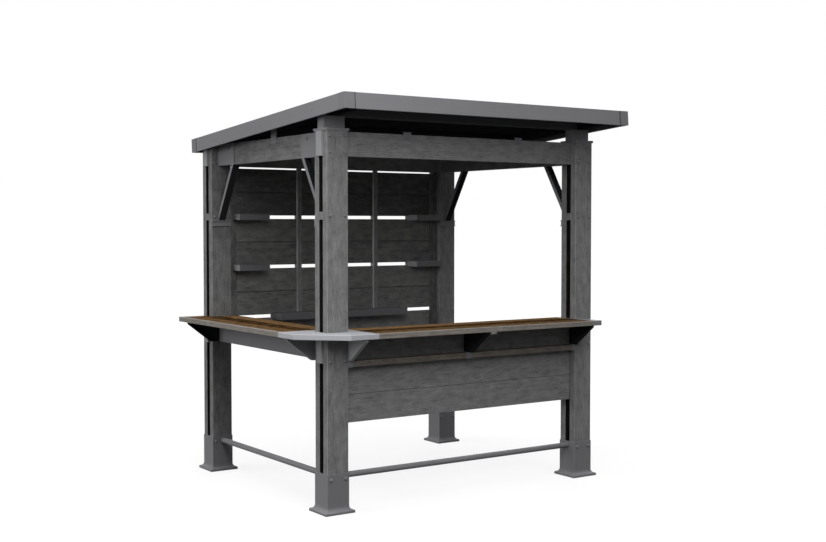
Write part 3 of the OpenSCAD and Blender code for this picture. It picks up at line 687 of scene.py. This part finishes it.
# The front brackets near the corner take the paler coat as painted light, and the left ones the
# grey coat
for arm, finish in (("front", pale_and_lit_coat), ("left", grey_coat)):
    timber_piece("bar_top_" + arm, f"bar_{arm}_boards", brown_timber, BAR_EASE, BAR_TONES,
                 "brown_stained_wood")
    timber_piece("bar_edging_" + arm, f"bar_{arm}_edge_band", edging_timber, BAR_EASE)
    brackets = steel_piece("gussets_" + arm, f"bar_{arm}_brackets", finish)
    along = 0 if arm == "front" else 1
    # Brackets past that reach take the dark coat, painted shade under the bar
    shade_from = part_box("post_front_left")[1][along] + BRACKET_LIT_REACH
    refinish(brackets, dark_and_shade_coat, lambda face: face.center[along] > shade_from)
steel_piece("bar_corner", "bar_corner_plate", pale_coat, CORNER_EASE)
steel_piece("bar_end_caps", "bar_end_plates", grey_coat, END_CAP_EASE)

# ---- Front panel and foot rails ----
# Stained boards close the front below the bar. A strip backs their upper joint, and thin
# steel clips hold a ledge in front of it. The left arm has a folded steel apron instead, and
# a steel foot rail runs between the boots under each arm.
PANEL_EASE, LEDGE_EASE, CLIP_EASE = 2 * MM, 2.5 * MM, 0.8 * MM
STRIP_T, STRIP_LAP, STRIP_EASE = 14 * MM, 15 * MM, 1.5 * MM
for node, name in (("apron_front", "front_apron_board"),
                   ("panel_board_upper", "panel_upper_board"),
                   ("panel_board_lower", "panel_lower_board")):
    timber_piece(node, name, grey_timber, PANEL_EASE)
joint_low, joint_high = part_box("ledge")
strip_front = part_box("apron_front")[1].y
strip_back = strip_front + STRIP_T
strip_low, strip_high = joint_low.z - STRIP_LAP, joint_high.z + STRIP_LAP
strip = bmesh.new()
add_bar(strip, [(strip_front, strip_low), (strip_back, strip_low), (strip_back, strip_high),
                (strip_front, strip_high)], joint_low.x, joint_high.x)
bmesh.ops.recalc_face_normals(strip, faces=strip.faces)
bmesh.ops.bevel(strip, geom=strip.edges[:], offset=STRIP_EASE, segments=2, affect="EDGES")
write_grain(strip)
put_in_place(finish_shape(strip, "panel_joint_strip"), grey_timber, "grey_stained_wood")
# The ledge takes its finish's darkest tone, painted shade under the bar
timber_piece("ledge", "ledge_rail", edging_timber, LEDGE_EASE, (0.0,))
steel_piece("ledge_clips", "ledge_rail_clips", grey_coat, CLIP_EASE)
steel_piece("apron_left", "left_apron_sheet", grey_coat, PANEL_EASE)
for arm in ("front", "left"):
    steel_piece("foot_rail_" + arm, f"foot_rail_{arm}_tube", grey_coat)

# ---- Shelf wall ----
# The back is closed by pairs of stained boards, lapped on each other by half their thickness,
# with an open gap between the pairs. Strips cover the boards' ends, two slim uprights stiffen
# the wall, and folded steel shelves sit in the gaps.
SEAM = 3 * MM
LAP = 9 * MM
BOARD_EASE, TRIM_EASE, SHELF_EASE = 3 * MM, 1.5 * MM, 2 * MM
PAIRS = 3
# The wall's stain is darker than the posts', and its boards' tones darken towards the top: both
# are painted shade under the roof
WALL_SHADED_PALE, WALL_SHADED_DARK = "848482", "505050"
WALL_TONES_AND_SHADE = ((-0.9, -0.6), (0.2, 0.6), (0.6, 0.9), (1.1,))
# The uprights' pale finish is painted light on their sides
BATTEN_LIT_PALE, BATTEN_LIT_DARK = "bcbcba", "949493"
SHELF_GREY = "646467"


def lapped_boards(n):
    """Pair n of the wall's boards, or its single lowest board: outlines of their ends, drawn
    with eased corners and a half lap at the seam, run from post to post."""
    low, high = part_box(f"wall_band_{n}")
    front, back, ease = low.y, high.y, BOARD_EASE
    half = (front + back) / 2
    seam = (low.z + high.z - SEAM) / 2 if n <= PAIRS else high.z
    foot = [(back, low.z + ease), (back - ease, low.z), (front + ease, low.z),
            (front, low.z + ease)]
    crown = [(front, high.z - ease), (front + ease, high.z), (back - ease, high.z),
             (back, high.z - ease)]
    if n > PAIRS:
        outlines = [foot + crown]
    else:
        outlines = [
            foot + [(front, seam - ease), (front + ease, seam), (half, seam),
                    (half, seam + LAP), (back, seam + LAP)],
            [(back, seam + LAP), (half, seam + LAP), (half, seam + SEAM),
             (front + ease, seam + SEAM), (front, seam + SEAM + ease)] + crown]
    shape = bmesh.new()
    for outline in outlines:
        add_bar(shape, outline, low.x, high.x)
    bmesh.ops.recalc_face_normals(shape, faces=shape.faces)
    write_grain(shape, WALL_TONES_AND_SHADE[n - 1])
    return finish_shape(shape, f"wall_boards_{n}")


# The wall's darker stain is painted shade under the roof
wall_timber_and_shade = stained_timber("grey_stained_softwood_and_painted_shade", WALL_SHADED_PALE, WALL_SHADED_DARK)
for n in range(1, PAIRS + 2):
    put_in_place(lapped_boards(n), wall_timber_and_shade, "grey_stained_wood", f"wall_band_{n}")
lit_batten_timber = stained_timber("grey_softwood_painted_lit", BATTEN_LIT_PALE, BATTEN_LIT_DARK)
for node, name, finish, tone in (
        ("wall_end_trims", "wall_end_strips", wall_timber_and_shade, -0.6),
        ("wall_battens", "wall_upright_bars", lit_batten_timber, 0.8)):
    piece = timber_piece(node, name, finish, TRIM_EASE, (tone, tone))
    if node == "wall_battens":
        # The uprights' front and back faces are stained like the posts, and their sides and edges
        # keep a paler finish: painted light from the left
        refinish(piece, grey_timber, lambda face: abs(face.normal.y) > SQUARE_ON)
shelf_coat = powder_coat("slate_powder_coated_steel", SHELF_GREY)
for side in ("left", "right"):
    shelves = steel_piece("shelves_" + side, side + "_small_shelves", shelf_coat, SHELF_EASE)
    # The small shelves' end faces take the paler coat: painted light on their ends
    refinish(shelves, pale_and_lit_coat, lambda face: abs(face.normal.x) > SQUARE_ON)
steel_piece("shelf_long", "long_shelf", shelf_coat, SHELF_EASE)

# ---- Studio ----
# A white floor that runs out to a white surround, under broad soft lamps so far off that
# they light the whole floor evenly, and one soft box near the front left corner. To the
# gazebo's own shading the floor is dark, so that its underside stays dark.
# A lamp's name, its degrees round from the front towards the left and up, and its strength
LAMPS = (("overhead_lamp", 30, 80, 1.6), ("high_front_lamp", 10, 52, 1.0),
         ("low_front_lamp", 0, 20, 0.25), ("low_left_lamp", 90, 10, 1.25),
         ("left_rear_lamp", 120, 45, 1.2), ("right_rear_lamp", 225, 25, 1.0),
         ("low_right_lamp", 272, 12, 1.1))
LAMP_SPREAD = math.radians(31)
LAMP_DISTANCE = 9.0
SOFT_BOX = Vector((-2.1, -3.3, 3.1))
SOFT_BOX_POWER, SOFT_BOX_SIZE = 62.0, 1.8
MIDDLE = Vector((0.0, 0.0, 1.1))
FLOOR_REACH = 60.0
FLOOR_GLOW = 0.85

world = bpy.data.worlds.new("studio")
bpy.context.scene.world = world
world.use_nodes = True
tree = world.node_tree
tree.nodes.clear()


def seen_directly(tree):
    """1 where a camera, glossy or transmission ray looks, and 0 for the light on surfaces."""
    path = add_node(tree, "ShaderNodeLightPath")
    shiny = add_node(tree, "ShaderNodeMath", {0: path.outputs["Is Glossy Ray"],
                                              1: path.outputs["Is Transmission Ray"]},
                     operation="MAXIMUM")
    return add_node(tree, "ShaderNodeMath", {0: path.outputs["Is Camera Ray"],
                                             1: shiny.outputs[0]},
                    operation="MAXIMUM").outputs[0]


surround = add_node(tree, "ShaderNodeBackground", {"Color": (1, 1, 1, 1),
                                                   "Strength": seen_directly(tree)})
add_node(tree, "ShaderNodeOutputWorld", {"Surface": surround.outputs[0]})

floor_mesh = bpy.data.meshes.new("studio_floor")
floor_mesh.from_pydata([(-FLOOR_REACH, -FLOOR_REACH, 0), (FLOOR_REACH, -FLOOR_REACH, 0),
                        (FLOOR_REACH, FLOOR_REACH, 0), (-FLOOR_REACH, FLOOR_REACH, 0)],
                       [], [(0, 1, 2, 3)])
floor = bpy.data.objects.new("studio_floor", floor_mesh)
bpy.context.scene.collection.objects.link(floor)
paint = bpy.data.materials.new("white_floor_paint")
paint.use_nodes = True
tree = paint.node_tree
tree.nodes.clear()
glow = add_node(tree, "ShaderNodeEmission", {"Color": (1, 1, 1, 1), "Strength": 1.0})
matt = add_node(tree, "ShaderNodeBsdfDiffuse", {"Color": (0.9, 0.9, 0.9, 1)})
shown = add_node(tree, "ShaderNodeMixShader", {0: FLOOR_GLOW, 1: matt.outputs[0],
                                               2: glow.outputs[0]})
dull = add_node(tree, "ShaderNodeBsdfDiffuse", {"Color": (0.08, 0.08, 0.08, 1)})
floor_mix = add_node(tree, "ShaderNodeMixShader", {0: seen_directly(tree),
                                                   1: dull.outputs[0], 2: shown.outputs[0]})
add_node(tree, "ShaderNodeOutputMaterial", {"Surface": floor_mix.outputs[0]})
floor_mesh.materials.append(paint)

for name, side, height, strength in LAMPS:
    side, height = math.radians(side), math.radians(height)
    lamp_data = bpy.data.lights.new(name, "SUN")
    lamp_data.energy = strength
    lamp_data.angle = LAMP_SPREAD
    lamp = bpy.data.objects.new(name, lamp_data)
    bpy.context.scene.collection.objects.link(lamp)
    towards = Vector((-math.sin(side) * math.cos(height), -math.cos(side) * math.cos(height),
                      math.sin(height)))
    lamp.location = towards * LAMP_DISTANCE
    lamp.rotation_euler = towards.to_track_quat("Z", "Y").to_euler()

soft_box_data = bpy.data.lights.new("soft_box", "AREA")
soft_box_data.energy = SOFT_BOX_POWER
soft_box_data.size = SOFT_BOX_SIZE
soft_box = bpy.data.objects.new("soft_box", soft_box_data)
bpy.context.scene.collection.objects.link(soft_box)
soft_box.location = SOFT_BOX
soft_box.rotation_euler = (SOFT_BOX - MIDDLE).to_track_quat("Z", "Y").to_euler()

EYE = Vector((-4.5176, -6.8371, 1.6983))
HEADING = math.radians(34.3065)
DIP = math.radians(2.215)
camera_data = bpy.data.cameras.new("camera")
camera_data.sensor_width = 36.0
camera_data.lens = 53.2
camera = bpy.data.objects.new("camera", camera_data)
bpy.context.scene.collection.objects.link(camera)
camera.location = EYE
gaze = Vector((math.sin(HEADING) * math.cos(DIP), math.cos(HEADING) * math.cos(DIP),
               -math.sin(DIP)))
camera.rotation_euler = gaze.to_track_quat("-Z", "Y").to_euler()
bpy.context.scene.camera = camera
bpy.context.scene.view_settings.view_transform = "Standard"
